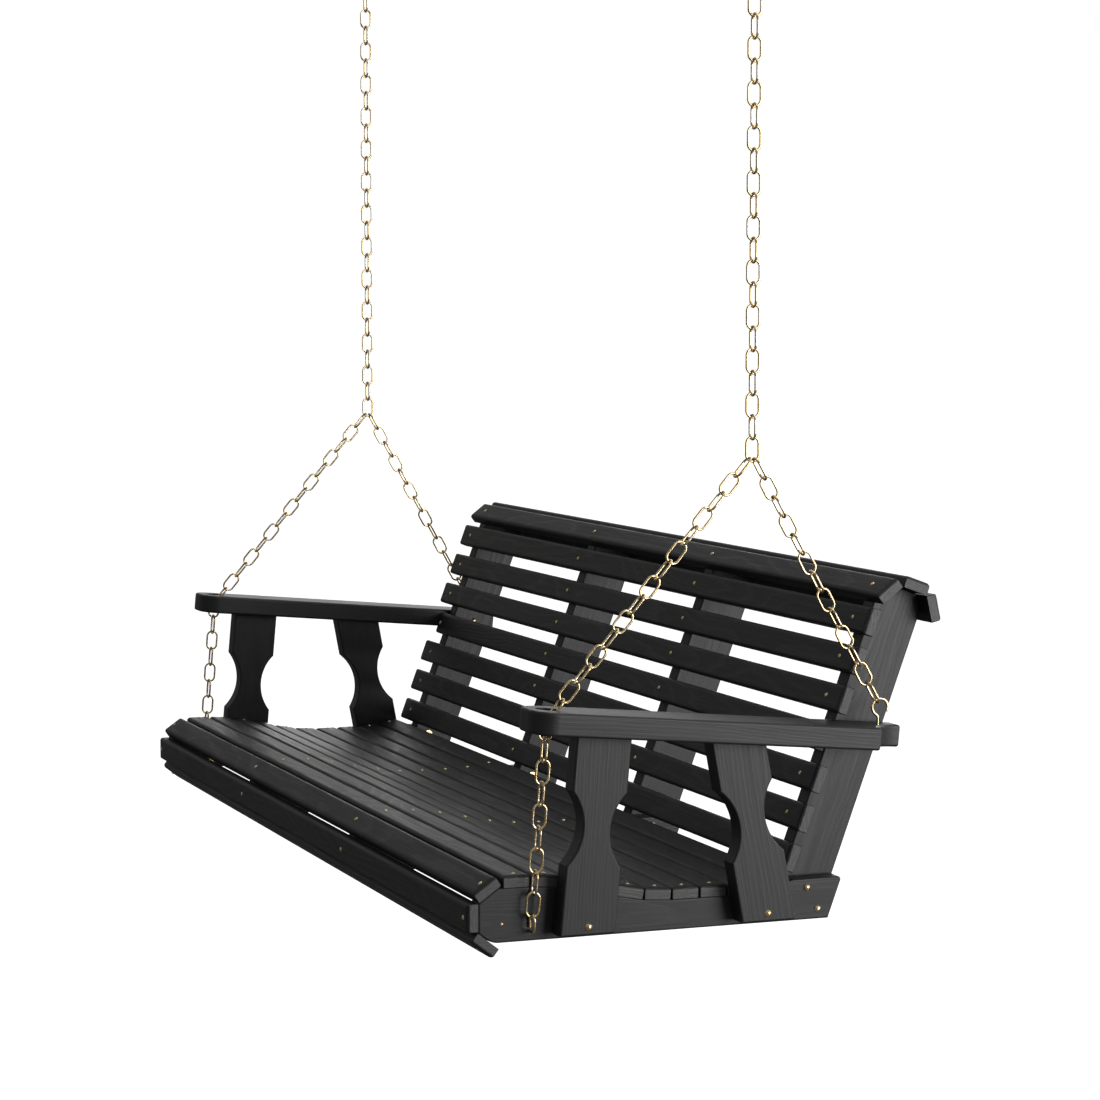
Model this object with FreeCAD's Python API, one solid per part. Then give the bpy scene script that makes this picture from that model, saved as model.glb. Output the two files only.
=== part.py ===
import FreeCAD, Part
import os
from math import sin, cos, tan, radians, degrees, atan2, pi, sqrt, hypot

from FreeCAD import Vector

# Porch swing with a slatted, rolled-over back, hung from two ceiling hooks by chains.
# Millimetres. X runs across the seat, -Y is the front, +Z is up. The origin is on the
# ceiling, midway between the two hooks, and y = 0 is the plumb line of the chains.

# ---- timber -----------------------------------------------------------------------
BOARD = 30.0            # thickness of rails, ribs, posts and arm supports
ROUND = 2.5             # rounded arris on the boards
SLAT_W = 38.0           # slat width
SLAT_T = 16.0           # slat thickness
SLAT_ROUND = 4.5        # rounded front edges and ends of a slat
SEAT_W = 1660.0         # width over the end rails
SLAT_END = 1.0          # slat ends inside the end rails' outer faces
ARM_GAP = 2.0           # shortened back slats clear of the arms
RIB_X = 258.5           # inner face of each middle rib, from the centre

# ---- seat rails -------------------------------------------------------------------
SEAT_COUNT = 10
SEAT_GAP = 2.3          # gap between seat slats
SEAT_FRONT_Y = -327.0   # centre line of the first seat slat
RAIL_FRONT_H = 72.0     # rail height under the first seat slats
SEAT_DIP = 31.0         # how far the seat scoops down behind the knees
DIP_START_Y = -310.0
DIP_END_Y = -110.0
RISE_START_Y = -30.0
SEAT_RISE = 6.9         # rise at the rear, RISE_RUN behind RISE_START_Y
RISE_RUN = 64.0
RAIL_REAR_H = 56.0      # rail height under the back
REAR_ROUND = 4.0        # rounded rear corner of the rails
NOSE_UPPER_TILT = 35.0  # slope of the upper nose slat
NOSE_LOWER_TILT = 38.0  # slope of the lower nose slat
NOSE_GAP = 0.6          # gap between neighbouring nose slats, back corner to back corner
NOSE_DROP = 4.0         # upper nose slat's rear edge above the first seat slat's seat
NOSE_BACK = 1.0         # each nose slat's edge behind the one before it
NOSE_ROUND = 5.0
NOSE_LOW_ROUND = 30.0   # where the nose turns under

# ---- back -------------------------------------------------------------------------
RECLINE = 20.2          # lean of the back from vertical
BACK_COUNT = 7
BACK_PITCH = 56.0       # centre to centre of the back slats
POST_W = 72.0           # post width, square to its length
POST_FOOT = 5.0         # foot of a post above the underside of the rails
BACK_CLEAR = 14.8       # seat slats to the posts
BACK_LOW = 26.5         # lowest back slat's centre above the rear of the rails
ROLL_RISE = 27.5        # end of the straight front edge above the top back slat's centre
ROLL_FRONT_TILT = 38.0
ROLL_TOP_TILT = 20.0
ROLL_REAR_TILT = 77.5
ROLL_GAP = 0.6          # gap between neighbouring slats of the roll

# ---- arms -------------------------------------------------------------------------
ARM_W = 86.0
ARM_T = 30.5
ARM_SLOPE = 5.2         # the arms fall towards the back
HOLE_Y = -289.2         # centre of the chain hole
ARM_HOLE_TOP = 305.5    # arm top at the chain hole, above the underside of the rails
ARM_FRONT = 31.0        # front end of the arm ahead of the hole's centre
ARM_REAR = 519.0        # rear end of the arm behind the hole's centre
ARM_CORNER = 32.0       # rounded front corners
ARM_COVE = 56.0         # hollow cut at the outer rear corner
ARM_ROUND = 3.5
HOLE_D = 32.0           # chain hole in the arm
SUPPORT_W = 77.0        # width of an arm support
WAIST = 19.0            # depth of each side's hollow
WAIST_CHORD = 98.0      # height of the hollow
WAIST_UP = 128.0        # middle of the hollow above the support's bolt
SUPPORT_FOOT = 11.0     # support below its bolt
FRONT_BOLT_Y = -238.5
REAR_BOLT_Y = 18.5
SUPPORT_BOLT_Z = 19.0
REAR_SUPPORT_LEAN = 10.6

# ---- chain ------------------------------------------------------------------------
WIRE = 3.2              # link wire
LINK_PITCH = 29.0       # from one link to the next
LINK_W = 21.0           # outside width of a link
PLAY = 0.2              # clearance between links, and at the hooks
CHAIN_OUT = 11.0        # chain line outside the end rails
UPPER_LINKS = 27
FRONT_LINKS = 15        # from the junction to the arm hole
LOWER_LINKS = 9         # through the arm and down to the rail
REAR_LINKS = 13         # from the junction to the arm hook
HOLE_SET_BACK = 2.5     # the link in the arm hole hangs this far ahead of its centre
ENTRY = 17.0            # that link's upper bend centre below the arm's top
LOWER_LEAN = 4.4        # lean of the lower run, down and forward
EYE_Z = 14.0            # eye bolt shank above the underside of the rails
EYE_WIRE = 4.0
EYE_R = 8.5             # eye bend radius, on the wire's centre
EYE_OPEN = 2.5          # opening left between the eye's tip and its shank

# ---- hooks ------------------------------------------------------------------------
ARM_HOOK_WIRE = 3.6
ARM_HOOK_R = 11.5
ARM_HOOK_NECK = 6.0
ARM_HOOK_STAND = 9.0    # straight shank above the arm
ARM_HOOK_SET = 3.0      # shank ahead of the ring's centre
ARM_HOOK_SHANK = 24.0   # length inside the arm
ARM_HOOK_END = -33.0    # tip of the open hook, in degrees from level
CEIL_WIRE = 7.0
CEIL_R = 14.0
CEIL_NECK = 8.0
CEIL_SHANK = 60.0       # threaded length in the joist
CEIL_STAND = 6.0        # straight shank below the ceiling
CEIL_END = 25.0

# ---- fasteners --------------------------------------------------------------------
SCREW_D = 3.6
SCREW_HEAD_D = 6.6
SCREW_HEAD_H = 1.6
SCREW_GRIP = 22.0       # screw length inside the board
HOLE_CLEAR = 0.2        # drilled hole over its fastener
OVERCUT = 1.0           # how far a drill runs on past a face
BOLT_D = 6.0
BOLT_HEAD_D = 10.6
BOLT_HEAD_H = 3.4
WASHER_D = 14.0
WASHER_T = 1.4
NUT_AF = 10.0
NUT_T = 5.0
BOLT_TAIL = 1.5         # bolt past its nut
DOWEL_D = 10.0
DOWEL_LEN = 36.0
DOWEL_SPREAD = 36.0
LAG_D = 6.0
LAG_IN_ARM = 34.0
POST_BOLTS = ((44.0, 0.37), (14.0, 0.72))   # height, and share of the post's width
NOSE_SCREW_Z = 25.0
NOSE_SCREW_BACK = 32.0
NOSE_SCREW_GRIP = 21.0  # screw length inside the rail
NOSE_SCREW_HEAD_D = 4.4
NOSE_SCREW_HEAD_H = 1.2

# ---- worked out from the above ----------------------------------------------------
RAIL_X = SEAT_W / 2 - BOARD
CHAIN_X = SEAT_W / 2 + CHAIN_OUT
BEND = (LINK_W - WIRE) / 2                  # link bend radius on the wire's centre
CROSS = (WIRE + PLAY) / 2                   # joint to each link's wire centre
PIVOT_TO_JOINT = BEND - CROSS
SEAT_PITCH = SLAT_W + SEAT_GAP
SLAT_LEN = SEAT_W - 2 * SLAT_END

os.makedirs("parts", exist_ok=True)


def save(name, solids):
    """One STEP file: a single solid, or a group of separate ones."""
    shape = solids[0] if len(solids) == 1 else Part.makeCompound(solids)
    shape.exportStep("parts/%s.step" % name)


def along(angle):
    """Unit step (y, z) at an angle above +Y."""
    return cos(radians(angle)), sin(radians(angle))


def step(p, angle, run):
    """Point reached from p by a run at an angle."""
    c, s = along(angle)
    return p[0] + run * c, p[1] + run * s


def meet(p, a, q, b):
    """Where the line through p at angle a meets the line through q at angle b."""
    (c, s), (d, t) = along(a), along(b)
    run = ((q[0] - p[0]) * t - (q[1] - p[1]) * d) / (c * t - s * d)
    return p[0] + run * c, p[1] + run * s


# ---- places in the side view, (y, z) with z from the ceiling ----------------------
hook_pin_z = -(CEIL_STAND + sqrt(CEIL_R ** 2 + 2 * CEIL_R * CEIL_NECK) + CEIL_R)
top_joint = (0.0, hook_pin_z + CEIL_WIRE / 2 + PLAY + WIRE / 2 - CROSS)
pivot_z = top_joint[1] - UPPER_LINKS * LINK_PITCH + PIVOT_TO_JOINT
front_reach = FRONT_LINKS * LINK_PITCH + 2 * PIVOT_TO_JOINT
hole_bend_y = HOLE_Y - HOLE_SET_BACK
RAIL_Z = pivot_z - sqrt(front_reach ** 2 - hole_bend_y ** 2) + ENTRY - ARM_HOLE_TOP
hole_bend = (hole_bend_y, RAIL_Z + ARM_HOLE_TOP - ENTRY)
front_angle = degrees(atan2(hole_bend[1] - pivot_z, hole_bend[0]))


def up(z):
    """Height above the ceiling origin of a height above the rails' underside."""
    return RAIL_Z + z


# ---- seat line --------------------------------------------------------------------
def seat_height(y):
    """Top of the rails: flat, a cosine drop, flat, then a parabola up to the back."""
    share = min(max((y - DIP_START_Y) / (DIP_END_Y - DIP_START_Y), 0.0), 1.0)
    drop = SEAT_DIP * (1 - cos(pi * share)) / 2
    rise = SEAT_RISE * (max(y - RISE_START_Y, 0.0) / RISE_RUN) ** 2
    return RAIL_FRONT_H - drop + rise


def seat_step(y, run):
    """The point on the seat line a straight run behind the point at y."""
    back = run
    for _ in range(20):
        rise = seat_height(y + back) - seat_height(y)
        back = sqrt(run ** 2 - rise ** 2)
    return y + back


# The seat line is cut as flats that meet midway between neighbouring slats.
seat_corners = [SEAT_FRONT_Y - SEAT_PITCH / 2]
for _ in range(SEAT_COUNT):
    seat_corners.append(seat_step(seat_corners[-1], SEAT_PITCH))
seat_corners = [(y, up(seat_height(y))) for y in seat_corners]
seat_seats = []         # (point on the rail, slope) under the middle of each seat slat
for (y0, z0), (y1, z1) in zip(seat_corners, seat_corners[1:]):
    seat_seats.append((((y0 + y1) / 2, (z0 + z1) / 2), degrees(atan2(z1 - z0, y1 - y0))))

# The nose slats wrap the front of the rails: upper, front and lower.
first, _ = seat_seats[0]
upper_rear = (first[0] - SLAT_W / 2 - SEAT_GAP, first[1] + NOSE_DROP)
upper_mid = step(upper_rear, NOSE_UPPER_TILT + 180, SLAT_W / 2)
upper_low = step(upper_rear, NOSE_UPPER_TILT + 180, SLAT_W)
nose_y = upper_low[0] - NOSE_BACK
front_mid = (nose_y, upper_low[1] - NOSE_GAP - SLAT_W / 2)
lower_top = (nose_y - NOSE_BACK, front_mid[1] - SLAT_W / 2 - NOSE_GAP)
lower_mid = step(lower_top, -NOSE_LOWER_TILT, SLAT_W / 2)
nose_seats = [
    ("nose_slat_upper", upper_mid, NOSE_UPPER_TILT),
    ("nose_slat_front", front_mid, 90.0),
    ("nose_slat_lower", lower_mid, 180.0 - NOSE_LOWER_TILT),
]

# ---- back line --------------------------------------------------------------------
BACK_ANGLE = 90.0 - RECLINE                 # direction up the back
last_seat, last_slope = seat_seats[-1]
seat_end = step(last_seat, last_slope, SLAT_W / 2)
post_front = (seat_end[0] + BACK_CLEAR, up(RAIL_REAR_H))    # front edge at the rail's top
low_mid = meet(post_front, BACK_ANGLE, (0.0, up(RAIL_REAR_H + BACK_LOW)), 0.0)
top_mid = step(low_mid, BACK_ANGLE, BACK_PITCH * (BACK_COUNT - 1))
post_rear = step(post_front, -RECLINE, POST_W)
roll_low = step(top_mid, BACK_ANGLE, ROLL_RISE)
roll_front_top = step(roll_low, ROLL_FRONT_TILT, SLAT_W)
roll_top_rear = step(roll_front_top, -ROLL_TOP_TILT, SLAT_W)
back_seats = [("back_slat_%d" % (i + 1), step(low_mid, BACK_ANGLE, BACK_PITCH * i), BACK_ANGLE)
              for i in range(BACK_COUNT)]
roll_seats = [
    ("roll_slat_front", step(roll_low, ROLL_FRONT_TILT, SLAT_W / 2), ROLL_FRONT_TILT),
    ("roll_slat_top", step(roll_front_top, -ROLL_TOP_TILT, SLAT_W / 2 + ROLL_GAP), -ROLL_TOP_TILT),
    ("roll_slat_rear", step(roll_top_rear, -ROLL_REAR_TILT, SLAT_W / 2 + 2 * ROLL_GAP),
     -ROLL_REAR_TILT),
]


# ---- solids -----------------------------------------------------------------------
def at(x, p):
    return Vector(x, p[0], p[1])


def cylinder(d, length, base, direction):
    return Part.makeCylinder(d / 2, length, base, direction)


def board(points, x, rounds=None, thickness=BOARD):
    """A plank cut to a side-view outline, with chosen corners and both arrises rounded."""
    wire = Part.makePolygon([at(x, p) for p in points + points[:1]])
    solid = Part.Face(wire).extrude(Vector(thickness, 0, 0))
    for radius, corners in (rounds or {}).items():
        edges = [e for e in solid.Edges if abs(e.tangentAt(e.FirstParameter).x) > 0.99
                 and any(hypot(e.CenterOfMass.y - c[0], e.CenterOfMass.z - c[1]) < 0.1
                         for c in corners)]
        solid = solid.makeFillet(radius, edges)
    return solid


def soften(solid, radius, pick):
    """Round every edge of a solid that pick(edge) chooses."""
    return solid.makeFillet(radius, [e for e in solid.Edges if pick(e)])


def in_face(x):
    """Chooses the edges that lie in the plane at x."""
    return lambda e: max(abs(v.X - x) for v in e.Vertexes) < 0.01


def slat(mid, angle, length=SLAT_LEN):
    """A slat lying on its back face at mid, its width running at an angle."""
    body = Part.makeBox(length, SLAT_W, SLAT_T, Vector(-length / 2, -SLAT_W / 2, 0))
    body = soften(body, SLAT_ROUND, lambda e: min(v.Z for v in e.Vertexes) > SLAT_T - 0.01)
    body.rotate(Vector(0, 0, 0), Vector(1, 0, 0), angle)
    body.translate(at(0, mid))
    return body


def dome(d, height, base, direction):
    """A low round head: the cap of a ball."""
    ball = (d * d / 4 + height * height) / (2 * height)
    cap = Part.makeSphere(ball, base - direction * (ball - height), direction)
    block = Part.makeCylinder(d, 2 * ball, base, direction)
    return cap.common(block)


def screw(x, mid, angle, grip=SCREW_GRIP):
    """A slat screw: domed head on the slat's face, shank through into the board."""
    out = Vector(0, -sin(radians(angle)), cos(radians(angle)))
    face = at(x, mid) + out * SLAT_T
    shank = cylinder(SCREW_D, SLAT_T + grip, face - out * (SLAT_T + grip), out)
    return dome(SCREW_HEAD_D, SCREW_HEAD_H, face, out).fuse(shank).removeSplitter()


def screw_hole(x, mid, angle):
    out = Vector(0, -sin(radians(angle)), cos(radians(angle)))
    start = at(x, mid) - out * (SCREW_GRIP + HOLE_CLEAR)
    return cylinder(SCREW_D + HOLE_CLEAR, SCREW_GRIP + SLAT_T + 2 * HOLE_CLEAR, start, out)


def tube(edges, d):
    """Round wire along tangent edges."""
    path = Part.Wire(edges)
    first = path.Edges[0]
    start = first.valueAt(first.FirstParameter)
    ring = Part.makeCircle(d / 2, start, first.tangentAt(first.FirstParameter))
    return path.makePipeShell([Part.Wire(ring)], True, False)


def link(a, b, across, d=WIRE):
    """One closed link between joints a and b, its width along the vector across."""
    run = (b - a).normalize()
    half = across * BEND
    top = a - run * CROSS + run * BEND
    low = b + run * CROSS - run * BEND
    edges = [
        Part.LineSegment(low + half, top + half).toShape(),
        Part.Arc(top + half, a - run * CROSS, top - half).toShape(),
        Part.LineSegment(top - half, low - half).toShape(),
        Part.Arc(low - half, b + run * CROSS, low + half).toShape(),
    ]
    return tube(edges, d)


def chain(x, start, angle, count, flat_first):
    """A taut run of links in the plane at x; every other link is turned a quarter."""
    run = Vector(0, *along(angle))
    side = Vector(1, 0, 0)
    links = []
    for i in range(count):
        a = at(x, start) + run * (LINK_PITCH * i)
        across = run.cross(side) if (i % 2 == 0) == flat_first else side
        links.append(link(a, a + run * LINK_PITCH, across))
    return links


def nut(centre, direction, hole_d):
    """Hexagon nut standing on centre."""
    circle = NUT_AF / sqrt(3)
    other = Vector(0, 1, 0)
    third = direction.cross(other)
    corners = [centre + other * circle * cos(pi * k / 3) + third * circle * sin(pi * k / 3)
               for k in range(7)]
    body = Part.Face(Part.makePolygon(corners)).extrude(direction * NUT_T)
    return body.cut(cylinder(hole_d, NUT_T * 3, centre - direction * NUT_T, direction))


def washer(centre, direction, hole_d):
    disc = cylinder(WASHER_D, WASHER_T, centre, direction)
    return disc.cut(cylinder(hole_d, WASHER_T * 3, centre - direction * WASHER_T, direction))


def neck_drop(ring_r, neck_r, shank_set=0.0):
    """From a hook's ring centre down to where its straight shank begins."""
    return sqrt((ring_r + neck_r) ** 2 - (neck_r + shank_set) ** 2)


def question_hook(centre, out, rise, wire_d, ring_r, neck_r, straight, shank, end, shank_set=0.0):
    """An open screw hook: a ring from a straight shank through a reversed neck.

    centre is the ring's centre, out points from the shank's line to the ring's closed
    side and rise from the shank's foot to the ring. The shank's line passes the ring's
    centre at a distance of shank_set towards out."""
    drop = neck_drop(ring_r, neck_r, shank_set)
    neck = centre + out * (neck_r + shank_set) - rise * drop
    share = neck_r / (ring_r + neck_r)
    joint = neck + (centre - neck) * share
    turn = atan2(drop, neck_r + shank_set)
    bend = neck + (-out * cos(turn / 2) + rise * sin(turn / 2)) * neck_r
    base = centre + out * shank_set - rise * drop
    foot = base - rise * (straight + shank)
    tip = centre - out * ring_r * cos(radians(end)) + rise * ring_r * sin(radians(end))
    start_turn = atan2((joint - centre).dot(rise), (joint - centre).dot(out))
    over = (start_turn + pi - radians(end)) / 2
    mid = centre + out * ring_r * cos(over) + rise * ring_r * sin(over)
    return tube([
        Part.LineSegment(foot, base).toShape(),
        Part.Arc(base, bend, joint).toShape(),
        Part.Arc(joint, mid, tip).toShape(),
    ], wire_d)


# ---- rails, ribs and posts --------------------------------------------------------
bottom = up(0.0)
nose_low = meet(lower_mid, 180.0 - NOSE_LOWER_TILT, (0.0, bottom), 0.0)
nose_front_low = meet(lower_mid, 180.0 - NOSE_LOWER_TILT, (nose_y, 0.0), 90.0)
nose_front_top = meet(upper_mid, NOSE_UPPER_TILT, (nose_y, 0.0), 90.0)
rail_line = [nose_low, nose_front_low, nose_front_top,
             meet(upper_mid, NOSE_UPPER_TILT, *seat_seats[0])]
rail_line += [c for c in seat_corners[1:-1]]
rear_top = meet(post_rear, BACK_ANGLE, (0.0, up(RAIL_REAR_H)), 0.0)
rear_bottom = meet(post_rear, BACK_ANGLE, (0.0, bottom), 0.0)
rail_line += [meet(last_seat, last_slope, rear_top, 0.0), rear_top, rear_bottom]

roll_rear = meet(roll_top_rear, -ROLL_REAR_TILT, post_rear, BACK_ANGLE)
foot = up(POST_FOOT)
post_line = [meet(post_front, BACK_ANGLE, (0.0, foot), 0.0), roll_low, roll_front_top,
             roll_top_rear, roll_rear, meet(post_rear, BACK_ANGLE, (0.0, foot), 0.0)]


def rail(x):
    body = board(rail_line, x, {NOSE_ROUND: [nose_front_low, nose_front_top],
                                NOSE_LOW_ROUND: [nose_low], REAR_ROUND: [rear_top]})
    for face in (x, x + BOARD):
        body = soften(body, ROUND, in_face(face))
    return body


def post(x):
    body = board(post_line, x, {ROUND: [roll_front_top, roll_top_rear]})
    for face in (x, x + BOARD):
        body = soften(body, ROUND, in_face(face))
    return body


def post_bolt_points():
    """The two bolts that join each post to its rail or rib."""
    points = []
    for height, share in POST_BOLTS:
        level = (0.0, up(height))
        near = meet(post_front, BACK_ANGLE, level, 0.0)
        far = meet(post_rear, BACK_ANGLE, level, 0.0)
        points.append((near[0] + (far[0] - near[0]) * share, level[1]))
    return points


lower_angle = -90.0 - LOWER_LEAN
hole_joint = step(hole_bend, -90.0, -PIVOT_TO_JOINT)
low_bend = step(hole_bend, -90.0, LINK_PITCH - 2 * PIVOT_TO_JOINT)
lower_joint = step(low_bend, lower_angle, PIVOT_TO_JOINT)
eye_joint = step(lower_joint, lower_angle, (LOWER_LINKS - 1) * LINK_PITCH)

seat_rows = [(p, a) for p, a in seat_seats] + [(p, a) for _, p, a in nose_seats]
back_rows = [(p, a) for _, p, a in back_seats] + [(p, a) for _, p, a in roll_seats]
rail_mids = {"left_end_rail": -SEAT_W / 2, "left_seat_rib": -RIB_X - BOARD,
             "right_seat_rib": RIB_X, "right_end_rail": RAIL_X}
post_mids = {"left_end_post": -RAIL_X, "left_back_post": -RIB_X,
             "right_back_post": RIB_X - BOARD, "right_end_post": RAIL_X - BOARD}
support_bolts = {"front": (FRONT_BOLT_Y, up(SUPPORT_BOLT_Z)),
                 "rear": (REAR_BOLT_Y, up(SUPPORT_BOLT_Z))}
arm_top = (HOLE_Y, up(ARM_HOLE_TOP))
arm_under = step(arm_top, -90.0 - ARM_SLOPE, ARM_T)
post_level = meet(post_front, BACK_ANGLE, arm_top, -ARM_SLOPE)
lag_point = step(step(post_level, -ARM_SLOPE, POST_W / 2), -90.0 - ARM_SLOPE, ARM_T / 2)


def through(x, p, length, d):
    """A hole along X."""
    return cylinder(d, length, Vector(x, p[0], p[1]), Vector(1, 0, 0))


def board_hole(x, p, d):
    """A clearance hole right through the board whose lower face is at x."""
    return through(x - OVERCUT, p, BOARD + 2 * OVERCUT, d + HOLE_CLEAR)


for name, x in rail_mids.items():
    body = rail(x)
    for p, a in seat_rows:
        body = body.cut(screw_hole(x + BOARD / 2, p, a))
    holes = post_bolt_points()
    if "end" in name:
        holes = holes + list(support_bolts.values())
        body = body.cut(board_hole(x, (eye_joint[0], up(EYE_Z)), EYE_WIRE))
        nose_x = SEAT_W / 2 - SCREW_GRIP if x > 0 else -SEAT_W / 2 - OVERCUT
        body = body.cut(through(nose_x, (nose_y + NOSE_SCREW_BACK, up(NOSE_SCREW_Z)),
                                SCREW_GRIP + OVERCUT, SCREW_D + HOLE_CLEAR))
    for p in holes:
        body = body.cut(board_hole(x, p, BOLT_D))
    save(name, [body])

for name, x in post_mids.items():
    body = post(x)
    for p, a in back_rows:
        body = body.cut(screw_hole(x + BOARD / 2, p, a))
    holes = post_bolt_points() + ([lag_point] if "end" in name else [])
    for p in holes:
        body = body.cut(board_hole(x, p, BOLT_D))
    save(name, [body])

# ---- slats ------------------------------------------------------------------------
seat_columns = [x + BOARD / 2 for x in rail_mids.values()]
back_columns = [x + BOARD / 2 for x in post_mids.values()]


def drilled(body, columns, p, a):
    for x in columns:
        body = body.cut(screw_hole(x, p, a))
    return body


for i, (p, a) in enumerate(seat_seats):
    save("seat_slat_%d" % (i + 1), [drilled(slat(p, a), seat_columns, p, a)])
for name, p, a in nose_seats:
    save(name, [drilled(slat(p, a), seat_columns, p, a)])
for name, p, a in back_seats + roll_seats:
    line = meet(p, a, arm_top, -ARM_SLOPE)
    under = meet(p, a, arm_under, -ARM_SLOPE)
    beside_arm = under[1] - SLAT_W / 2 < p[1] < line[1] + SLAT_W / 2
    length = 2 * (RAIL_X - ARM_GAP) if beside_arm else SLAT_LEN
    save(name, [drilled(slat(p, a, length), back_columns, p, a)])
save("seat_slat_screws", [screw(x, p, a) for p, a in seat_rows for x in seat_columns])
save("back_slat_screws", [screw(x, p, a) for p, a in back_rows for x in back_columns])


# ---- arms and their supports ------------------------------------------------------
def arm(side):
    """A plank with rounded front corners, a cove behind and a hole for the chain."""
    inner, outer = RAIL_X, RAIL_X + ARM_W
    front, rear = -ARM_FRONT, ARM_REAR
    c, k = ARM_CORNER, ARM_CORNER * (1 - sqrt(0.5))
    cove = ARM_COVE * sqrt(0.5)
    edges = [
        Part.LineSegment(Vector(inner, rear, 0), Vector(inner, front + c, 0)),
        Part.Arc(Vector(inner, front + c, 0), Vector(inner + k, front + k, 0), Vector(inner + c, front, 0)),
        Part.LineSegment(Vector(inner + c, front, 0), Vector(outer - c, front, 0)),
        Part.Arc(Vector(outer - c, front, 0), Vector(outer - k, front + k, 0), Vector(outer, front + c, 0)),
        Part.LineSegment(Vector(outer, front + c, 0), Vector(outer, rear - ARM_COVE, 0)),
        Part.Arc(Vector(outer, rear - ARM_COVE, 0), Vector(outer - cove, rear - cove, 0),
                 Vector(outer - ARM_COVE, rear, 0)),
        Part.LineSegment(Vector(outer - ARM_COVE, rear, 0), Vector(inner, rear, 0)),
    ]
    body = Part.Face(Part.Wire([e.toShape() for e in edges])).extrude(Vector(0, 0, -ARM_T))
    for level in (0.0, -ARM_T):
        body = soften(body, ARM_ROUND, lambda e: max(abs(v.Z - level) for v in e.Vertexes) < 0.01)
    body.rotate(Vector(0, 0, 0), Vector(1, 0, 0), -ARM_SLOPE)
    body.translate(at(0, arm_top))
    body = body.cut(cylinder(HOLE_D, ARM_T * 3, Vector(CHAIN_X, HOLE_Y, arm_top[1] - ARM_T * 2),
                             Vector(0, 0, 1)))
    hook_hole = cylinder(ARM_HOOK_WIRE + HOLE_CLEAR, ARM_HOOK_SHANK * 2,
                         Vector(CHAIN_X, hook_foot[0], hook_foot[1] - ARM_HOOK_SHANK - HOLE_CLEAR),
                         Vector(0, 0, 1))
    body = body.cut(hook_hole)
    body = body.cut(through(inner - OVERCUT, lag_point, LAG_IN_ARM + 2 * OVERCUT, LAG_D + HOLE_CLEAR))
    for hole in dowels(HOLE_CLEAR):
        body = body.cut(hole)
    return mirrored(body, side)


def mirrored(body, side):
    return body if side > 0 else body.mirror(Vector(0, 0, 0), Vector(1, 0, 0))


def support_axis(bolt, lean):
    """Top of a support's middle line, under the arm, and its direction."""
    return meet(bolt, 90.0 + lean, arm_under, -ARM_SLOPE), 90.0 + lean


def support(bolt, lean):
    """An hourglass plank from the rail up to the arm."""
    _, angle = support_axis(bolt, lean)
    waist = step(bolt, angle, WAIST_UP)
    outline = []
    for hand in (-1, 1):
        line = step(bolt, angle - 90.0, hand * SUPPORT_W / 2)
        low = meet(line, angle, (0.0, bolt[1] - SUPPORT_FOOT), 0.0)
        high = meet(line, angle, arm_under, -ARM_SLOPE)
        mid = step(waist, angle - 90.0, hand * (SUPPORT_W / 2 - WAIST))
        start = step(step(waist, angle - 90.0, hand * SUPPORT_W / 2), angle, -WAIST_CHORD / 2)
        stop = step(start, angle, WAIST_CHORD)
        outline.append((low, start, mid, stop, high))
    x = SEAT_W / 2
    (l0, l1, l2, l3, l4), (r0, r1, r2, r3, r4) = outline
    edges = [
        Part.LineSegment(at(x, r0), at(x, r1)), Part.Arc(at(x, r1), at(x, r2), at(x, r3)),
        Part.LineSegment(at(x, r3), at(x, r4)), Part.LineSegment(at(x, r4), at(x, l4)),
        Part.LineSegment(at(x, l4), at(x, l3)), Part.Arc(at(x, l3), at(x, l2), at(x, l1)),
        Part.LineSegment(at(x, l1), at(x, l0)), Part.LineSegment(at(x, l0), at(x, r0)),
    ]
    body = Part.Face(Part.Wire([e.toShape() for e in edges])).extrude(Vector(BOARD, 0, 0))
    for face in (x, x + BOARD):
        body = soften(body, ROUND, in_face(face))
    body = body.cut(board_hole(x, bolt, BOLT_D))
    for hole in dowels(HOLE_CLEAR):
        body = body.cut(hole)
    return body


supports = {"front": -ARM_SLOPE, "rear": REAR_SUPPORT_LEAN}     # leans from vertical


def dowels(extra):
    """Two dowels from each support up into the arm, on the right-hand side."""
    pins = []
    for key, lean in supports.items():
        top, _ = support_axis(support_bolts[key], lean)
        square = 90.0 - ARM_SLOPE
        for hand in (-1, 1):
            p = step(step(top, -ARM_SLOPE, hand * DOWEL_SPREAD / 2), square, -DOWEL_LEN / 2 - extra / 2)
            pins.append(cylinder(DOWEL_D + extra, DOWEL_LEN + extra, at(SEAT_W / 2 + BOARD / 2, p),
                                 Vector(0, *along(square))))
    return pins


# ---- arm hooks --------------------------------------------------------------------
apex_in_hook = ARM_HOOK_R - ARM_HOOK_WIRE / 2 - PLAY - WIRE / 2
rear_reach = PIVOT_TO_JOINT + REAR_LINKS * LINK_PITCH + CROSS + apex_in_hook
hook_drop = neck_drop(ARM_HOOK_R, ARM_HOOK_NECK, ARM_HOOK_SET)


def hook_rise(y):
    """Ring centre above which the rear chain is just taut, for a hook at y."""
    return pivot_z - sqrt(rear_reach ** 2 - y * y)


def arm_height(y):
    return arm_top[1] - (y - arm_top[0]) * tan(radians(ARM_SLOPE))


low_y, high_y = 0.0, rear_reach     # halved until the hook's foot meets the arm's top
for _ in range(50):
    y = (low_y + high_y) / 2
    if hook_rise(y) < arm_height(y - ARM_HOOK_SET) + hook_drop + ARM_HOOK_STAND:
        low_y = y
    else:
        high_y = y
hook_centre = (y, hook_rise(y))
hook_foot = (y - ARM_HOOK_SET, arm_height(y - ARM_HOOK_SET))
rear_angle = degrees(atan2(hook_centre[1] - pivot_z, hook_centre[0]))

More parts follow.
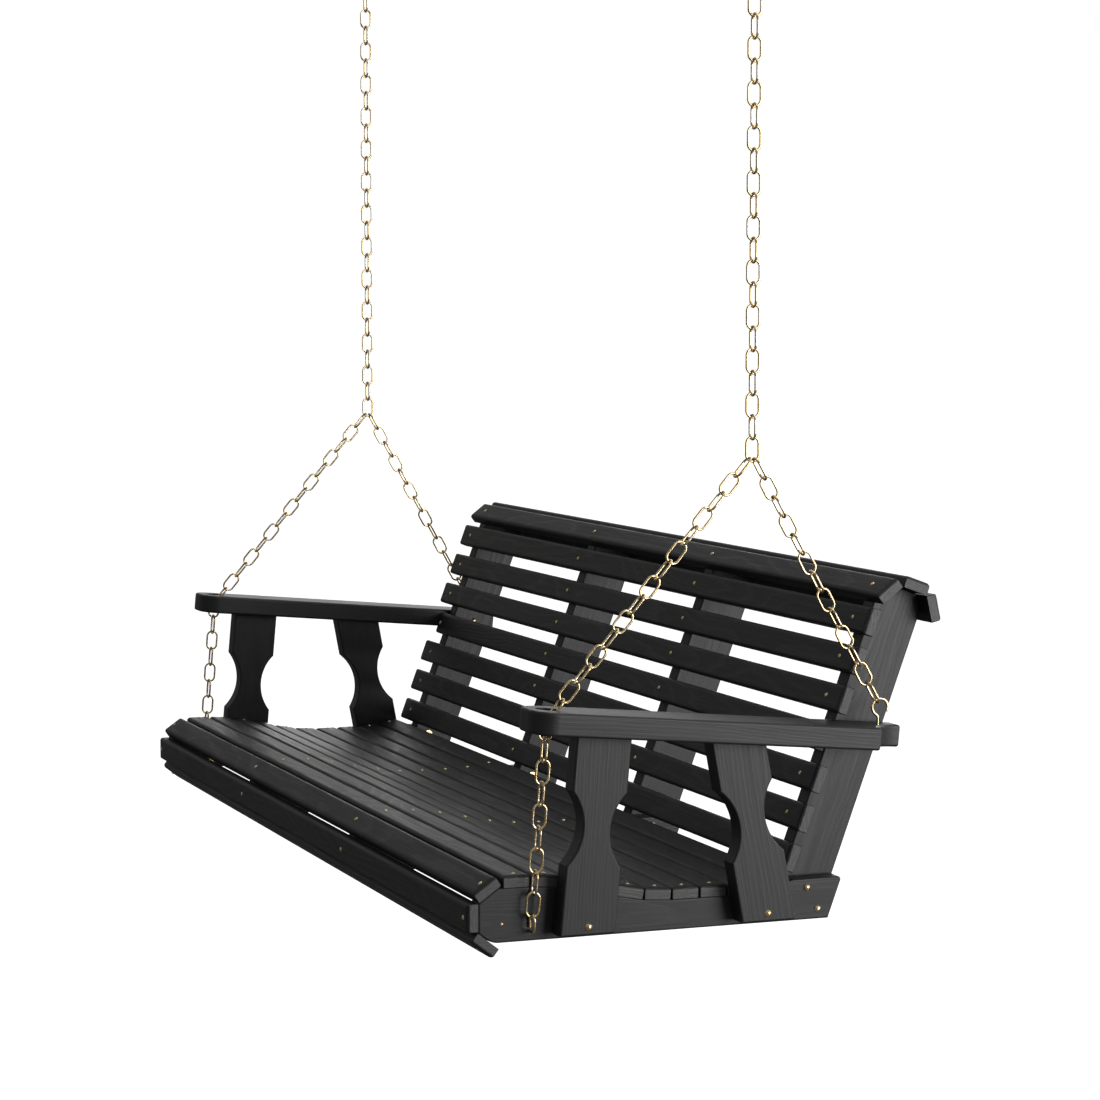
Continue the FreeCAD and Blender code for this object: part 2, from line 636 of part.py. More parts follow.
for side, hand in ((-1, "left"), (1, "right")):
    save("%s_arm" % hand, [arm(side)])
    for key, lean in supports.items():
        save("%s_%s_arm_support" % (hand, key), [mirrored(support(support_bolts[key], lean), side)])
save("arm_dowels", [mirrored(d, s) for s in (-1, 1) for d in dowels(0.0)])

# ---- hooks, chains and eye bolts --------------------------------------------------
for side, hand in ((-1, "left"), (1, "right")):
    x = side * CHAIN_X
    pivot = (0.0, pivot_z)
    save("%s_ceiling_hook" % hand, [question_hook(
        Vector(x, 0, hook_pin_z + CEIL_R), Vector(side, 0, 0), Vector(0, 0, -1), CEIL_WIRE,
        CEIL_R, CEIL_NECK, CEIL_STAND, CEIL_SHANK, CEIL_END)])
    save("%s_upper_chain" % hand, chain(x, top_joint, -90.0, UPPER_LINKS, True))
    save("%s_front_chain" % hand,
         chain(x, step(pivot, front_angle, PIVOT_TO_JOINT), front_angle, FRONT_LINKS, False))
    save("%s_lower_chain" % hand,
         chain(x, hole_joint, -90.0, 1, True)
         + chain(x, lower_joint, lower_angle, LOWER_LINKS - 1, False))
    save("%s_rear_chain" % hand,
         chain(x, step(pivot, rear_angle, PIVOT_TO_JOINT), rear_angle, REAR_LINKS, False))
    save("%s_arm_hook" % hand, [question_hook(
        Vector(x, *hook_centre), Vector(0, -1, 0), Vector(0, 0, 1), ARM_HOOK_WIRE, ARM_HOOK_R,
        ARM_HOOK_NECK, ARM_HOOK_STAND, ARM_HOOK_SHANK, ARM_HOOK_END, ARM_HOOK_SET)])


def eye_bolt():
    """Bent wire eye with its shank through the end rail, on the right-hand side."""
    apex = eye_joint[1] - CROSS + WIRE / 2 + PLAY + EYE_WIRE / 2
    low = up(EYE_Z)
    y0 = eye_joint[0]
    tail = Vector(RAIL_X - WASHER_T - NUT_T - BOLT_TAIL, y0, low)
    right, left = CHAIN_X + EYE_R, CHAIN_X - EYE_R
    edges = [
        Part.LineSegment(tail, Vector(CHAIN_X, y0, low)),
        Part.Arc(Vector(CHAIN_X, y0, low),
                 Vector(CHAIN_X + EYE_R * sqrt(0.5), y0, low + EYE_R * (1 - sqrt(0.5))),
                 Vector(right, y0, low + EYE_R)),
        Part.LineSegment(Vector(right, y0, low + EYE_R), Vector(right, y0, apex - EYE_R)),
        Part.Arc(Vector(right, y0, apex - EYE_R), Vector(CHAIN_X, y0, apex),
                 Vector(left, y0, apex - EYE_R)),
        Part.LineSegment(Vector(left, y0, apex - EYE_R), Vector(left, y0, low + EYE_WIRE / 2 + EYE_OPEN)),
    ]
    return tube([e.toShape() for e in edges], EYE_WIRE)


save("rail_eye_bolts", [mirrored(eye_bolt(), s) for s in (-1, 1)])


# ---- bolts, washers, nuts and small screws ----------------------------------------
def bolt(x, p, grip, d=BOLT_D):
    """A round-headed bolt, head outwards at x, reaching inwards through grip."""
    out = Vector(1, 0, 0)
    length = grip + WASHER_T + NUT_T + BOLT_TAIL
    shank = cylinder(d, length, Vector(x - length, p[0], p[1]), out)
    return dome(BOLT_HEAD_D, BOLT_HEAD_H, Vector(x, p[0], p[1]), out).fuse(shank).removeSplitter()


bolts = [(SEAT_W / 2, p, 2 * BOARD) for p in post_bolt_points()]
bolts += [(SEAT_W / 2 + BOARD, p, 2 * BOARD) for p in support_bolts.values()]
bolts += [(RIB_X + BOARD, p, 2 * BOARD) for p in post_bolt_points()]
inward = Vector(-1, 0, 0)
tails = [(x - grip, p, BOLT_D) for x, p, grip in bolts]
tails += [(RAIL_X, (eye_joint[0], up(EYE_Z)), EYE_WIRE)]
tail_points = [(Vector(x, p[0], p[1]), d + HOLE_CLEAR) for x, p, d in tails]
both = (-1, 1)
save("carriage_bolts", [mirrored(bolt(x, p, grip), s) for s in both for x, p, grip in bolts])
save("bolt_washers", [mirrored(washer(c, inward, d), s) for s in both for c, d in tail_points])
save("bolt_nuts", [mirrored(nut(c + inward * WASHER_T, inward, d), s)
                   for s in both for c, d in tail_points])

lag_head = Vector(RAIL_X - BOARD, *lag_point)
lag = dome(BOLT_HEAD_D, BOLT_HEAD_H, lag_head, inward).fuse(
    cylinder(LAG_D, BOARD + LAG_IN_ARM, lag_head, Vector(1, 0, 0))).removeSplitter()
save("arm_lag_screws", [mirrored(lag, s) for s in both])

nose_head = Vector(SEAT_W / 2, nose_y + NOSE_SCREW_BACK, up(NOSE_SCREW_Z))
nose_screw = dome(NOSE_SCREW_HEAD_D, NOSE_SCREW_HEAD_H, nose_head, Vector(1, 0, 0)).fuse(
    cylinder(SCREW_D, NOSE_SCREW_GRIP, nose_head - Vector(NOSE_SCREW_GRIP, 0, 0), Vector(1, 0, 0)))
save("nose_screws", [mirrored(nose_screw.removeSplitter(), s) for s in both])
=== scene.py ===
from math import cos, pi, radians, sin

import bpy
import numpy as np
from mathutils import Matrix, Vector


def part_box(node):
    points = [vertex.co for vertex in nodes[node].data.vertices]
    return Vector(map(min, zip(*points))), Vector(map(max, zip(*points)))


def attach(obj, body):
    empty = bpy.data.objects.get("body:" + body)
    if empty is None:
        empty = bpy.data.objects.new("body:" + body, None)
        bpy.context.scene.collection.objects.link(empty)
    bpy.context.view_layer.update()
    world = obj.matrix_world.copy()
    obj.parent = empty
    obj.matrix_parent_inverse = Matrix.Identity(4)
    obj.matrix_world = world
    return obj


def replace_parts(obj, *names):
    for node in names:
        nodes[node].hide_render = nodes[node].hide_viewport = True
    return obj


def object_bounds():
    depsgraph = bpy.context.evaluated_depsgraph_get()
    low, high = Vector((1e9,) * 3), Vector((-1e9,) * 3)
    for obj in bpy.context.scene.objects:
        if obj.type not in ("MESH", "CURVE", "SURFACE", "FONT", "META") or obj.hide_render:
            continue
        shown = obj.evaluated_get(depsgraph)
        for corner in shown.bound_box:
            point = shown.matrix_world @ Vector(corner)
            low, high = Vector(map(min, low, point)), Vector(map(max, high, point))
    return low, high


# Porch swing: black-painted softwood slats and boards on gold zinc-plated chain.
# Metres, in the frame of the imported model: X along the seat, -Y the way a sitter faces,
# Z up, origin on the ceiling midway between the two hooks.
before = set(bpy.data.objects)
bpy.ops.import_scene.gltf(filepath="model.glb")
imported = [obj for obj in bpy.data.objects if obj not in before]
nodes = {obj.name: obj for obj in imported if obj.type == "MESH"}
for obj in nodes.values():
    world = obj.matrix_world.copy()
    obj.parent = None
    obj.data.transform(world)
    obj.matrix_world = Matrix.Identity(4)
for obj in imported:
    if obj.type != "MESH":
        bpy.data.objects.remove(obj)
cad_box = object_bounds()
SEAT = "swing_seat"

# ---- Painted slats ----------------------------------------------------------------
# Twenty softwood slats, 38 by 16 mm, planed, with the front edges and ends rounded over
# by a router, then dipped in black exterior paint. The paint sinks over the soft early
# wood and stands on the hard late wood, so the growth rings and pores show as relief.


def srgb(code):
    """Linear colour of an sRGB hex code: c/12.92 near black, ((c+0.055)/1.055)^2.4 above."""
    parts = [int(code[i:i + 2], 16) / 255 for i in (1, 3, 5)]
    return tuple(c / 12.92 if c <= 0.04045 else ((c + 0.055) / 1.055) ** 2.4 for c in parts) + (1.0,)


def add(owner, kind, settings=(), **links):
    """One node of a material or world: its settings by attribute, then each input by value
    or from a socket. An input is named, with _ for a space, or numbered as in0, in1 ..."""
    made = owner.node_tree.nodes.new(kind)
    for key, value in dict(settings).items():
        setattr(made, key, value)
    for key, value in links.items():
        numbered = key[:2] == "in" and key[2:].isdigit()
        slot = made.inputs[int(key[2:])] if numbered else made.inputs[key.replace("_", " ")]
        if isinstance(value, bpy.types.NodeSocket):
            owner.node_tree.links.new(value, slot)
        else:
            slot.default_value = value
    return made


def ramp(made, stops):
    """Sets a colour ramp's stops, a list of (place, sRGB hex code)."""
    elements = made.color_ramp.elements
    while len(elements) < len(stops):
        elements.new(0.5)
    for element, (place, code) in zip(elements, stops):
        element.position, element.color = place, srgb(code)
    return made


def blank(name):
    """A material with an empty node tree."""
    mat = bpy.data.materials.new(name)
    mat.use_nodes = True
    mat.node_tree.nodes.clear()
    return mat


def paint_over(node, mat):
    """Gives a CAD node its only material."""
    nodes[node].data.materials.clear()
    nodes[node].data.materials.append(mat)


def black_painted_softwood(name, turn=None, pith=(14.0, -70.0), paint=("#0c0c0d", "#141415"), depth=0.55):
    """Black satin exterior paint over planed softwood, brushed on thinly enough for the
    grain to read: a slight lift of tone on the late wood, and a soft broken highlight.

    The coordinates are in millimetres with the grain along x. Without a turn they come
    from the piece's own attribute "grain"; with one, Object coordinates are turned by it.
    Rings are a wandering distance from the pith, folded into a saw-tooth every 4.6 mm, and
    depth is the strength of the relief."""
    mat = blank(name)
    if turn is None:
        place = add(mat, "ShaderNodeAttribute", {"attribute_name": "grain"}).outputs["Vector"]
        place = add(mat, "ShaderNodeMapping", Vector=place, Scale=(1000, 1000, 1000)).outputs[0]
    else:
        place = add(mat, "ShaderNodeTexCoord").outputs["Object"]
        place = add(mat, "ShaderNodeMapping", Vector=place, Rotation=turn,
                    Scale=(1000, 1000, 1000)).outputs[0]

    def noise(long, wide, detail, rough):
        """Noise with features of two sizes in mm, along the grain and across it."""
        grid = add(mat, "ShaderNodeMapping", Vector=place, Scale=(1 / long, 1 / wide, 1 / wide)).outputs[0]
        return add(mat, "ShaderNodeTexNoise", Vector=grid, Scale=1.0, Detail=detail,
                   Roughness=rough).outputs[0]

    def scaled(value, factor, rest):
        """value * factor + rest."""
        return add(mat, "ShaderNodeMath", {"operation": "MULTIPLY_ADD"}, in0=value, in1=factor,
                   in2=rest).outputs[0]

    across = add(mat, "ShaderNodeVectorMath", {"operation": "MULTIPLY"}, in0=place, in1=(0.0, 1.0, 1.0))
    across = add(mat, "ShaderNodeVectorMath", {"operation": "SUBTRACT"}, in0=across.outputs[0],
                 in1=(0.0, pith[0], pith[1]))
    radius = add(mat, "ShaderNodeVectorMath", {"operation": "LENGTH"}, in0=across.outputs[0]).outputs["Value"]
    # growth wanders by 20 mm over a board's length, and by 2 mm around small knots
    radius = scaled(noise(640, 110, 1.5, 0.45), 70.0, radius)
    radius = scaled(noise(130, 26, 2.0, 0.5), 6.0, radius)
    ring = add(mat, "ShaderNodeMath", {"operation": "DIVIDE"}, in0=radius, in1=4.6).outputs[0]
    ring = add(mat, "ShaderNodeMath", {"operation": "FRACT"}, in0=ring).outputs[0]
    late = ramp(add(mat, "ShaderNodeValToRGB", Fac=ring),
                [(0.0, "#000000"), (0.55, "#5a5a5a"), (0.86, "#ffffff"), (1.0, "#000000")]).outputs[0]
    # pores and fibres are under 0.3 mm on the real wood; drawn 1.5 mm wide so that they show
    relief = scaled(late, 0.42, noise(70, 1.5, 2.5, 0.6))
    relief = scaled(noise(240, 6, 2.0, 0.5), 0.6, relief)
    # the paint film's own faint orange peel, 1.2 mm
    peel = add(mat, "ShaderNodeTexNoise", Vector=place, Scale=0.8, Detail=1.0).outputs[0]
    relief = scaled(peel, 0.12, relief)
    bump = add(mat, "ShaderNodeBump", Height=relief, Strength=depth, Distance=0.0006).outputs[0]
    tone = add(mat, "ShaderNodeMath", {"operation": "MULTIPLY_ADD", "use_clamp": True}, in0=relief, in1=0.7,
               in2=-0.3).outputs[0]
    colour = ramp(add(mat, "ShaderNodeValToRGB", Fac=tone), [(0.0, paint[0]), (1.0, paint[1])]).outputs[0]
    if turn is None:
        # a slat's sawn ends drink the paint and dry paler than its faces
        square = add(mat, "ShaderNodeNewGeometry").outputs["True Normal"]
        square = add(mat, "ShaderNodeSeparateXYZ", Vector=square).outputs["X"]
        square = add(mat, "ShaderNodeMath", {"operation": "ABSOLUTE"}, in0=square).outputs[0]
        square = add(mat, "ShaderNodeMapRange", in0=square, in1=0.97, in2=0.99).outputs[0]
        dry = ramp(add(mat, "ShaderNodeValToRGB", Fac=tone), [(0.0, "#363637"), (1.0, "#4c4c4c")]).outputs[0]
        colour = add(mat, "ShaderNodeMix", {"data_type": "RGBA"}, in0=square, in6=colour, in7=dry).outputs[2]
    # satin, a little glossier where the film stands on late wood
    gloss = add(mat, "ShaderNodeMapRange", in0=relief, in1=0.4, in2=1.3, in3=0.6, in4=0.46).outputs[0]
    shader = add(mat, "ShaderNodeBsdfPrincipled", Base_Color=colour, Roughness=gloss, Normal=bump, IOR=1.5)
    add(mat, "ShaderNodeOutputMaterial", Surface=shader.outputs[0])
    return mat


def piece(name, points, faces, mat, smooth=True):
    """A mesh object from an array of points and a list of faces, shaded flat, or smooth
    except over an edge of 38 degrees or more."""
    mesh = bpy.data.meshes.new(name)
    mesh.from_pydata(points.tolist(), [], faces)
    mesh.update()
    if smooth:
        mesh.polygons.foreach_set("use_smooth", np.ones(len(mesh.polygons), bool))
        mesh.set_sharp_from_angle(angle=radians(38))
    mesh.materials.append(mat)
    obj = bpy.data.objects.new(name, mesh)
    bpy.context.scene.collection.objects.link(obj)
    return obj


def band(rows, columns):
    """Quads between neighbouring rings of a grid of points whose rings are closed."""
    r, c = np.meshgrid(np.arange(rows - 1), np.arange(columns), indexing="ij")
    r, c = r.ravel(), c.ravel()
    e = (c + 1) % columns
    return np.stack([r * columns + c, r * columns + e, (r + 1) * columns + e, (r + 1) * columns + c], 1)


def read(items, key, width=1):
    """One property of all the vertices or faces of a mesh, as an array."""
    flat = np.empty(len(items) * width, np.float32)
    items.foreach_get(key, flat)
    return flat.astype(float).reshape(-1, width)


SLAT_WIDTH, SLAT_THICK = 0.038, 0.016
SLAT_ROUND = 0.0055     # router radius on the front edges and ends
SLAT_EASE = 0.0009      # sanded off the back edges
END_EASE = 0.0012       # sanded off the ends' upright edges
slat_paint = black_painted_softwood("black_paint_on_slats")


def slat(node, seed):
    """A slat in place of a CAD one, and its seat: (middle of its back face, width, face).

    The section is walked once round. Its front stands at thick - (a^4 + b^4)^(1/4), where
    a and b are how far a quarter circle of SLAT_ROUND has fallen by that distance from the
    slat's side and from its end, so the two round-overs blend at the corners. The flattest
    and largest side of the CAD slat is its back face, and gives the way it faces."""
    mesh = nodes[node].data
    co = read(mesh.vertices, "co", 3)
    ways, which = np.unique(read(mesh.polygons, "normal", 3).round(3), axis=0, return_inverse=True)
    back = ways[np.argmax(np.bincount(which.ravel(), read(mesh.polygons, "area").ravel()))]
    face = -back / np.linalg.norm(back)
    width = np.cross(face, (1.0, 0.0, 0.0))
    half, low = np.abs(co[:, 0]).max(), (co @ face).min()
    middle = ((co @ width).max() + (co @ width).min()) / 2
    seat = width * middle + face * low

    def fallen(distance, r=SLAT_ROUND):
        into = np.clip(r - distance, 0.0, r)
        return r - np.sqrt(r * r - into * into)

    def both_ways(steps, reach):
        """Steps in from one edge, mirrored to run from -reach to reach."""
        return np.concatenate([steps - reach, (reach - steps)[-2::-1]])

    side = SLAT_WIDTH / 2
    bend = SLAT_ROUND * (1 - np.cos(np.linspace(0, pi / 2, 9)))
    station = both_ways(np.concatenate([bend, np.linspace(SLAT_ROUND, half, 18)[1:]]), half)
    top = both_ways(np.concatenate([bend, np.linspace(SLAT_ROUND, side, 6)[1:]]), side)
    wall = np.array([0.0004, 0.004, 0.0095])    # heights of the rings' points on the sides
    across = np.concatenate([top, [side] * 3, [side - SLAT_EASE, 0.0, SLAT_EASE - side], [-side] * 3])
    height = np.concatenate([SLAT_THICK - fallen(side - np.abs(top)), wall[::-1], [0.0] * 3, wall])
    in_end = half - np.abs(station)
    grid_w = across[None, :] * (1 - fallen(in_end, END_EASE)[:, None] / side)
    sunk = (np.maximum(SLAT_THICK - height, 0)[None, :] ** 4 + fallen(in_end)[:, None] ** 4) ** 0.25
    front = (np.arange(len(across)) < len(top))[None, :]
    cap = SLAT_THICK - fallen(in_end)[:, None]
    grid_h = np.where(front, SLAT_THICK - sunk, np.minimum(height[None, :], cap))
    grid_x = np.broadcast_to(station[:, None], grid_w.shape)
    flat = np.stack([grid_x, grid_w, grid_h], 2).reshape(-1, 3)
    points = seat + flat[:, :1] * (1.0, 0.0, 0.0) + flat[:, 1:2] * width + flat[:, 2:] * face
    n = len(across)
    faces = band(len(station), n).tolist()
    faces += [list(range(n)), list(range(len(points) - n, len(points)))[::-1]]
    made = piece(node + "_board", points, faces, slat_paint)
    # each slat is cut 2.137 m further along the wood than the last, and elsewhere across it
    away = np.array([seed * 2.137, (seed * 0.377 % 1 - 0.5) * 0.06, (seed * 0.619 % 1) * 0.05])
    made.data.attributes.new("grain", "FLOAT_VECTOR", "POINT")
    made.data.attributes["grain"].data.foreach_set("vector", (flat + away).astype(np.float32).ravel())
    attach(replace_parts(made, node), SEAT)
    return seat, width, face


seat_names = ["nose_slat_lower", "nose_slat_front", "nose_slat_upper"]
seat_names += ["seat_slat_%d" % i for i in range(1, 11)]
back_names = ["back_slat_%d" % i for i in range(1, 8)]
back_names += ["roll_slat_front", "roll_slat_top", "roll_slat_rear"]
seats = {name: slat(name, seed) for seed, name in enumerate(seat_names + back_names)}

# ---- Rails, ribs and posts --------------------------------------------------------
# Sawn 30 mm boards, all with their arrises taken off: two end rails and two ribs carry
# the seat, and four reclined posts bolted to them carry the back. Same black paint; the
# grain follows each board's length.


def board_paint(node, lean, seed):
    """Paint for a CAD board whose grain leans by an angle above +Y: the pith lies 62 to
    90 mm from the board's middle, on a side that differs from board to board."""
    low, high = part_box(node)
    mid = (low + high) / 2 * 1000
    up = mid.z * cos(radians(lean)) - mid.y * sin(radians(lean))
    away = seed * 2.4
    pith = (-mid.x + 62 * cos(away), up + 90 * sin(away))
    turn = (-radians(lean), 0.0, -pi / 2)
    paint = ("#121213", "#1a1a1b")
    paint_over(node, black_painted_softwood("black_paint_on_" + node, turn, pith, paint, 0.24))


RECLINE = 20.2
for seed, node in enumerate(["left_end_rail", "left_seat_rib", "right_seat_rib", "right_end_rail"]):
    board_paint(node, 0.0, seed + 1)
for seed, node in enumerate(["left_end_post", "left_back_post", "right_back_post", "right_end_post"]):
    board_paint(node, 90.0 - RECLINE, seed + 5)

# ---- Arms and their supports ------------------------------------------------------
# Arms of 30 mm board with rounded front corners and a coved rear corner, falling 5 degrees
# to the back, on four band-sawn hourglass supports dowelled up into them.
ARM_FALL = 5.2
REAR_LEAN = 10.6
for seed, side in enumerate(["left", "right"]):
    board_paint(side + "_arm", -ARM_FALL, seed + 11)
    board_paint(side + "_front_arm_support", 90.0 - ARM_FALL, seed + 13)
    board_paint(side + "_rear_arm_support", 90.0 + REAR_LEAN, seed + 17)

# ---- Dowels -----------------------------------------------------------------------
# Bare beech dowels, 10 mm, glued between the supports and the arms and hidden in them.
# Close-grained, pale, with short darker flecks along the dowel.
bare = blank("bare_beech_dowel")
fleck = add(bare, "ShaderNodeTexCoord").outputs["Object"]
fleck = add(bare, "ShaderNodeMapping", Vector=fleck, Scale=(900, 900, 60)).outputs[0]
fleck = add(bare, "ShaderNodeTexNoise", Vector=fleck, Scale=1.0, Detail=3.0).outputs[0]
tone = ramp(add(bare, "ShaderNodeValToRGB", Fac=fleck), [(0.3, "#b98f5e"), (0.7, "#d9b584")]).outputs[0]
bump = add(bare, "ShaderNodeBump", Height=fleck, Distance=0.0001).outputs[0]
wood = add(bare, "ShaderNodeBsdfPrincipled", Base_Color=tone, Roughness=0.7, Normal=bump)
add(bare, "ShaderNodeOutputMaterial", Surface=wood.outputs[0])
paint_over("arm_dowels", bare)

# ---- Chain, hooks and eyes --------------------------------------------------------
# Straight-link welded steel chain, wire 3.2 mm, with open screw hooks and bent eyes, all
# bright zinc plated and passivated yellow: a pale gold with a slight drift of colour.


def yellow_zinc(name, rough):
    """Bright yellow-passivated zinc on steel. The dip dries unevenly, so the gold drifts
    from straw to brass over 15 mm. Drawn wire's unevenness is about 0.4 mm on the real
    thing, and is drawn 0.9 mm so that it shows."""
    mat = blank(name)
    place = add(mat, "ShaderNodeTexCoord").outputs["Object"]
    place = add(mat, "ShaderNodeMapping", Vector=place, Scale=(1000, 1000, 1000)).outputs[0]
    drift = add(mat, "ShaderNodeTexNoise", Vector=place, Scale=1 / 15, Detail=2.0).outputs[0]
    drawn = add(mat, "ShaderNodeTexNoise", Vector=place, Scale=1 / 0.9, Detail=2.0).outputs[0]
    colour = ramp(add(mat, "ShaderNodeValToRGB", Fac=drift),
                  [(0.25, "#d6b883"), (0.5, "#e8cf9f"), (0.75, "#f4e4c2")]).outputs[0]
    worn = add(mat, "ShaderNodeMapRange", in0=drawn, in1=0.3, in2=0.7, in3=rough * 0.7, in4=rough * 1.5)
    bump = add(mat, "ShaderNodeBump", Height=drawn, Strength=0.35, Distance=0.00012).outputs[0]
    shader = add(mat, "ShaderNodeBsdfPrincipled", Base_Color=colour, Metallic=1.0,
                 Roughness=worn.outputs[0], Normal=bump)
    add(mat, "ShaderNodeOutputMaterial", Surface=shader.outputs[0])
    return mat


chain_plate = yellow_zinc("yellow_zinc_chain", 0.16)
for hand in ("left", "right"):
    for part in ("upper_chain", "front_chain", "lower_chain", "rear_chain", "arm_hook", "ceiling_hook"):
        paint_over("%s_%s" % (hand, part), chain_plate)
paint_over("rail_eye_bolts", chain_plate)

# ---- Slat screws ------------------------------------------------------------------
# Round-headed wood screws, 6.6 mm heads with a cross recess, one through each slat into
# every board it crosses, yellow zinc plated.
screw_plate = yellow_zinc("yellow_zinc_screw", 0.22)
HEAD_R, HEAD_H = 0.0033, 0.0016
RECESS_DEPTH = 0.0009
ARM_HALF, ARM_TAPER = 0.00042, 0.0002   # half width of the cross's arms, and their slope's
ARM_REACH, REACH_TAPER = 0.0019, 0.0005     # how far the arms reach out, and their end's
NECK = 0.0006           # shank under the head, down in the slat


def screw_heads(name, names, boards, node):
    """Heads on the middle of each slat over each board: a cap of a ball, sunk along a cross
    whose arms have sloping sides and ends, and a short neck down into the slat."""
    turn = np.linspace(0, 2 * pi, 32, endpoint=False)[None, :]
    # the first ring is too small to see, and leaves no more than a pinhole in the middle
    r = np.array([1e-5, 0.25, 0.4, 0.52, 0.64, 0.78, 0.92, 1.0])[:, None] * HEAD_R
    ball = (HEAD_R ** 2 + HEAD_H ** 2) / (2 * HEAD_H)
    x, y = r * np.cos(turn), r * np.sin(turn)
    off_arm = np.minimum(np.abs(x), np.abs(y))
    cross = np.clip((ARM_HALF - off_arm) / ARM_TAPER, 0, 1) * np.clip((ARM_REACH - r) / REACH_TAPER, 0, 1)
    z = np.sqrt(ball ** 2 - r ** 2) - (ball - HEAD_H) - RECESS_DEPTH * cross
    head = np.stack([x, y, z], 2)
    neck = head[-1:] * (1, 1, 0) - (0, 0, NECK)
    head = np.concatenate([head, neck])
    quads = band(*head.shape[:2])[:, ::-1]
    head = head.reshape(-1, 3)
    middles = [(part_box(board)[0].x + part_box(board)[1].x) / 2 for board in boards]
    points, faces = [], []
    for row, slat_name in enumerate(names):
        seat, width, face = seats[slat_name]
        for column, middle in enumerate(middles):
            # each screw stopped at a turn of its own
            stop = row * 1.3 + column * 2.1
            u = np.array([cos(stop), 0, 0]) + width * sin(stop)
            v = np.cross(face, u)
            base = seat + np.array([middle, 0, 0]) + face * SLAT_THICK
            faces.append(quads + len(points) * len(head))
            points.append(base + head[:, :1] * u + head[:, 1:2] * v + head[:, 2:] * face)
    made = piece(name, np.concatenate(points), np.concatenate(faces).tolist(), screw_plate)
    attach(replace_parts(made, node), SEAT)


screw_heads("seat_screw_heads", seat_names,
            ["left_end_rail", "left_seat_rib", "right_seat_rib", "right_end_rail"], "seat_slat_screws")
screw_heads("back_screw_heads", back_names,
            ["left_end_post", "left_back_post", "right_back_post", "right_end_post"], "back_slat_screws")

# ---- Bolts, nuts, washers and small screws ----------------------------------------
# Round-headed carriage bolts through the boards with washers and nuts inside, lag screws
# into the arms and one screw into each rail's nose, all yellow zinc plated.
for node in ("carriage_bolts", "bolt_washers", "bolt_nuts", "arm_lag_screws", "nose_screws"):
    paint_over(node, screw_plate)

# ---- Floor ------------------------------------------------------------------------
# A plain pale floor 0.42 m below the swing. Seen directly it is a lit white; in reflections
# and bounced light it is duller, as under a dark flag, so that black paint keeps its shape.
floor_paint = blank("matt_white_floor")
seen = add(floor_paint, "ShaderNodeLightPath").outputs["Is Camera Ray"]
matt = add(floor_paint, "ShaderNodeBsdfDiffuse", Color=srgb("#e2e2e1"))
dull = add(floor_paint, "ShaderNodeBsdfDiffuse", Color=srgb("#7c7c7c"))
lit = add(floor_paint, "ShaderNodeEmission", Color=srgb("#ffffff"), Strength=0.78)
white = add(floor_paint, "ShaderNodeAddShader", in0=matt.outputs[0], in1=lit.outputs[0]).outputs[0]
both = add(floor_paint, "ShaderNodeMixShader", in0=seen, in1=dull.outputs[0], in2=white)
add(floor_paint, "ShaderNodeOutputMaterial", Surface=both.outputs[0])
FLOOR_R = 30.0
rim = np.linspace(0, 2 * pi, 96, endpoint=False)
disc = np.stack([FLOOR_R * np.cos(rim), FLOOR_R * np.sin(rim), np.full(96, cad_box[0].z - 0.42)], 1)
piece("floor", disc, [list(range(96))], floor_paint, smooth=False)

# ---- Sky --------------------------------------------------------------------------
# White where it is seen directly. Otherwise a dim grey studio, with a broad glow behind the
# swing, towards -X, that is brightest at the horizon and fades upwards.
world = bpy.data.worlds.new("studio")
bpy.context.scene.world = world
world.use_nodes = True
world.node_tree.nodes.clear()
sky = add(world, "ShaderNodeTexCoord").outputs["Generated"]
height = add(world, "ShaderNodeSeparateXYZ", Vector=sky).outputs["Z"]
strength = add(world, "ShaderNodeMapRange", {"interpolation_type": "SMOOTHSTEP"}, in0=height, in1=0.05,
               in2=0.55, in3=3.8, in4=0.5).outputs[0]
toward = add(world, "ShaderNodeVectorMath", {"operation": "DOT_PRODUCT"}, in0=sky,
             in1=Vector((-0.57, 0.82, -0.03)).normalized()).outputs["Value"]
glow = add(world, "ShaderNodeMapRange", {"interpolation_type": "SMOOTHSTEP"}, in0=toward, in1=0.5, in2=0.98,
           in3=0.0, in4=1.0).outputs[0]
glow = add(world, "ShaderNodeMath", {"operation": "MULTIPLY_ADD"}, in0=glow, in1=strength,
           in2=0.23).outputs[0]
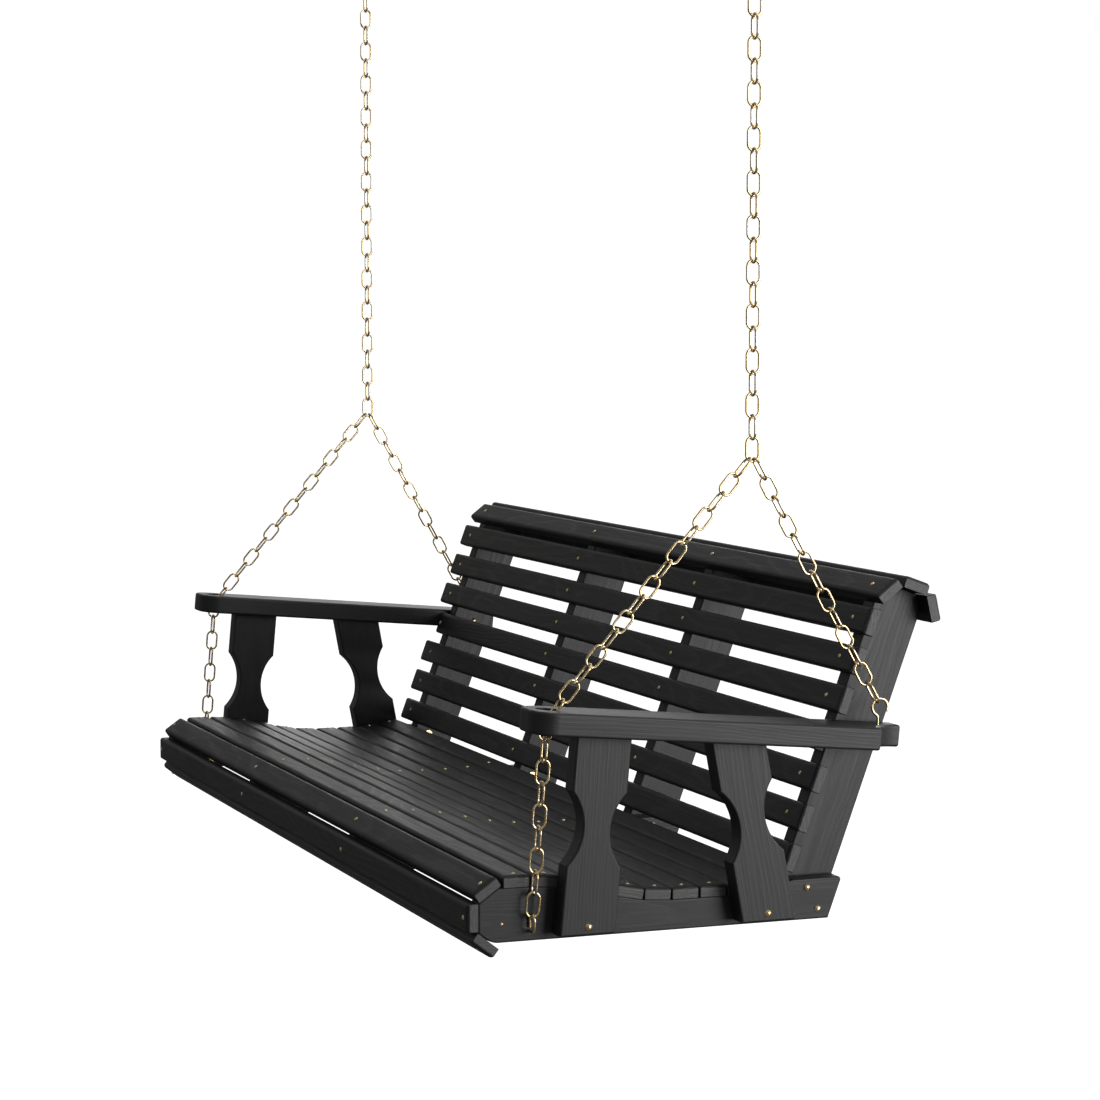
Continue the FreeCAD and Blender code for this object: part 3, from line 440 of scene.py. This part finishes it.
seen = add(world, "ShaderNodeLightPath").outputs["Is Camera Ray"]
level = add(world, "ShaderNodeMix", {"data_type": "FLOAT"}, in0=seen, in2=glow, in3=1.0)
back = add(world, "ShaderNodeBackground", Color=srgb("#ffffff"), Strength=level.outputs[0])
add(world, "ShaderNodeOutputWorld", Surface=back.outputs[0])

# ---- Lamps ------------------------------------------------------------------------
# A broad soft box beyond the +X end and behind the swing, a weak one above it, and a
# weak, very wide sun overhead.


def soft_box(name, place, wide, tall, power):
    """A rectangular lamp aimed at the middle of the seat."""
    light = bpy.data.lights.new(name, "AREA")
    light.shape, light.size, light.size_y, light.energy = "RECTANGLE", wide, tall, power
    box = bpy.data.objects.new(name, light)
    box.location = place
    aim = Vector((0.0, 0.0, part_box("seat_slat_5")[0].z)) - Vector(place)
    box.rotation_euler = aim.to_track_quat("-Z", "Y").to_euler()
    bpy.context.scene.collection.objects.link(box)


soft_box("key", (3.9, 2.2, -0.7), 2.3, 2.3, 138)
soft_box("top", (0.6, 0.9, 1.6), 1.6, 1.2, 12)
overhead = bpy.data.lights.new("overhead", "SUN")
overhead.energy, overhead.angle = 0.28, radians(75)
bpy.context.scene.collection.objects.link(bpy.data.objects.new("overhead", overhead))

# ---- Camera -----------------------------------------------------------------------
# Beyond the +X end and in front, 5 m away and 0.84 m above the rails' underside, looking
# slightly down through a long lens that is shifted up a little.
eye = bpy.data.cameras.new("eye")
eye.sensor_width, eye.lens = 36.0, 102.897818
eye.shift_y = 0.039
eye.clip_end = 200.0
camera = bpy.data.objects.new("eye", eye)
rails_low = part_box("right_end_rail")[0].z
camera.location = (4.6208, -1.7223, rails_low + 0.8386)
yaw, pitch = radians(-69.186), radians(-5.394)
gaze = Vector((sin(yaw) * cos(pitch), cos(yaw) * cos(pitch), sin(pitch)))
camera.rotation_euler = gaze.to_track_quat("-Z", "Y").to_euler()
bpy.context.scene.collection.objects.link(camera)
bpy.context.scene.camera = camera
bpy.context.scene.view_settings.view_transform = "Standard"
